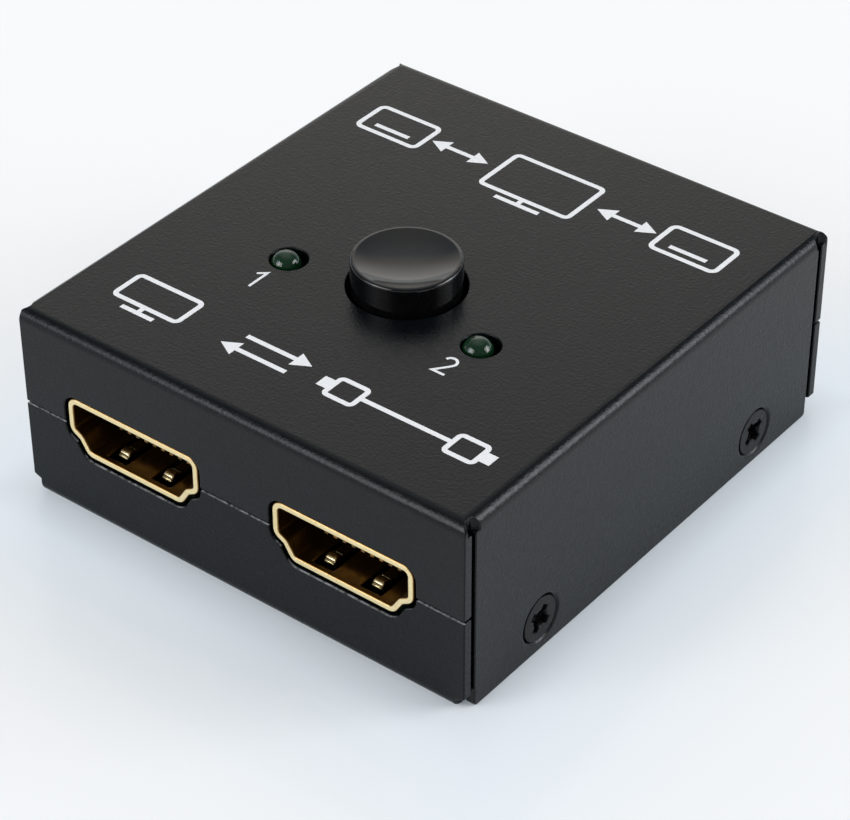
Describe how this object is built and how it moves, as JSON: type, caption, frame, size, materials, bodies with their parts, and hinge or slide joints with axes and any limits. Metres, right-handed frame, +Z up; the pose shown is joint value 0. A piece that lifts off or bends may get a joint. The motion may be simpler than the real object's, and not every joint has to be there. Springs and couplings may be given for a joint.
{
  "type": "video switch box",
  "caption": "Small black bent-steel video switch box with gold-lined stepped sockets front and rear, a round dished latching push button and green indicator lamps on top.",
  "frame": {"origin": "middle of the flat resting face under the base plate", "axes": "+Z up, front face with the pair of sockets towards -Y, +X to the right seen from the front"},
  "size_m": [0.05, 0.0544, 0.0231],
  "materials": {
    "powder_coat": "fine matte black powder coat",
    "black_screw": "satin black",
    "gold_plate": "gold plated, polished",
    "contact_metal": "gold plated",
    "socket_plastic": "black moulded",
    "button_plastic": "glossy black",
    "lens_green": "clear tinted green",
    "board_green": "very dark green solder mask",
    "standoff_brass": "turned",
    "steel": "zinc plated",
    "tinned": "tinned",
    "switch_black": "black moulded",
    "switch_white": "white moulded",
    "chip_black": "moulded epoxy",
    "capacitor_tan": "fired"
  },
  "bodies": {
    "case": {"top_cover": "powder_coat", "base_plate": "powder_coat", "case_screws": "black_screw", "board_standoffs": "standoff_brass", "board_screws": "steel", "circuit_board": "board_green", "port_1_shell": "gold_plate", "port_1_insulator": "socket_plastic", "port_1_contacts": "contact_metal", "port_2_shell": "gold_plate", "port_2_insulator": "socket_plastic", "port_2_contacts": "contact_metal", "port_3_shell": "gold_plate", "port_3_insulator": "socket_plastic", "port_3_contacts": "contact_metal", "switch_housing": "switch_black", "switch_frame": "tinned", "switch_spring": "steel", "switch_terminals": "tinned", "lamp_1_lens": "lens_green", "lamp_1_leads": "tinned", "lamp_2_lens": "lens_green", "lamp_2_leads": "tinned", "switching_chip": "chip_black", "chip_leads": "tinned", "capacitors": "capacitor_tan", "resistors": "chip_black", "protection_arrays": "chip_black"},
    "button": {"button_cap": "button_plastic", "switch_plunger": "switch_white", "switch_bridges": "contact_metal"},
    "latch": {"latch_wire": "steel"}
  },
  "joints": [
    {"name": "button_press", "type": "slide", "parent": "case", "child": "button", "axis": [0, 0, -1], "range_m": [0, 0.002], "stiffness_N_per_m": 600, "springref_m": -0.0015, "deforming": ["switch_spring"]},
    {"name": "latch_swing", "type": "hinge", "parent": "case", "child": "latch", "pos_m": [0, -0.0032, 0.00941], "axis": [1, 0, 0], "range_deg": [0, 7.2]}
  ],
  "couplings": [
    {"joint": "latch_swing", "follows": "button_press", "rad_per_m": 61.087}
  ]
}
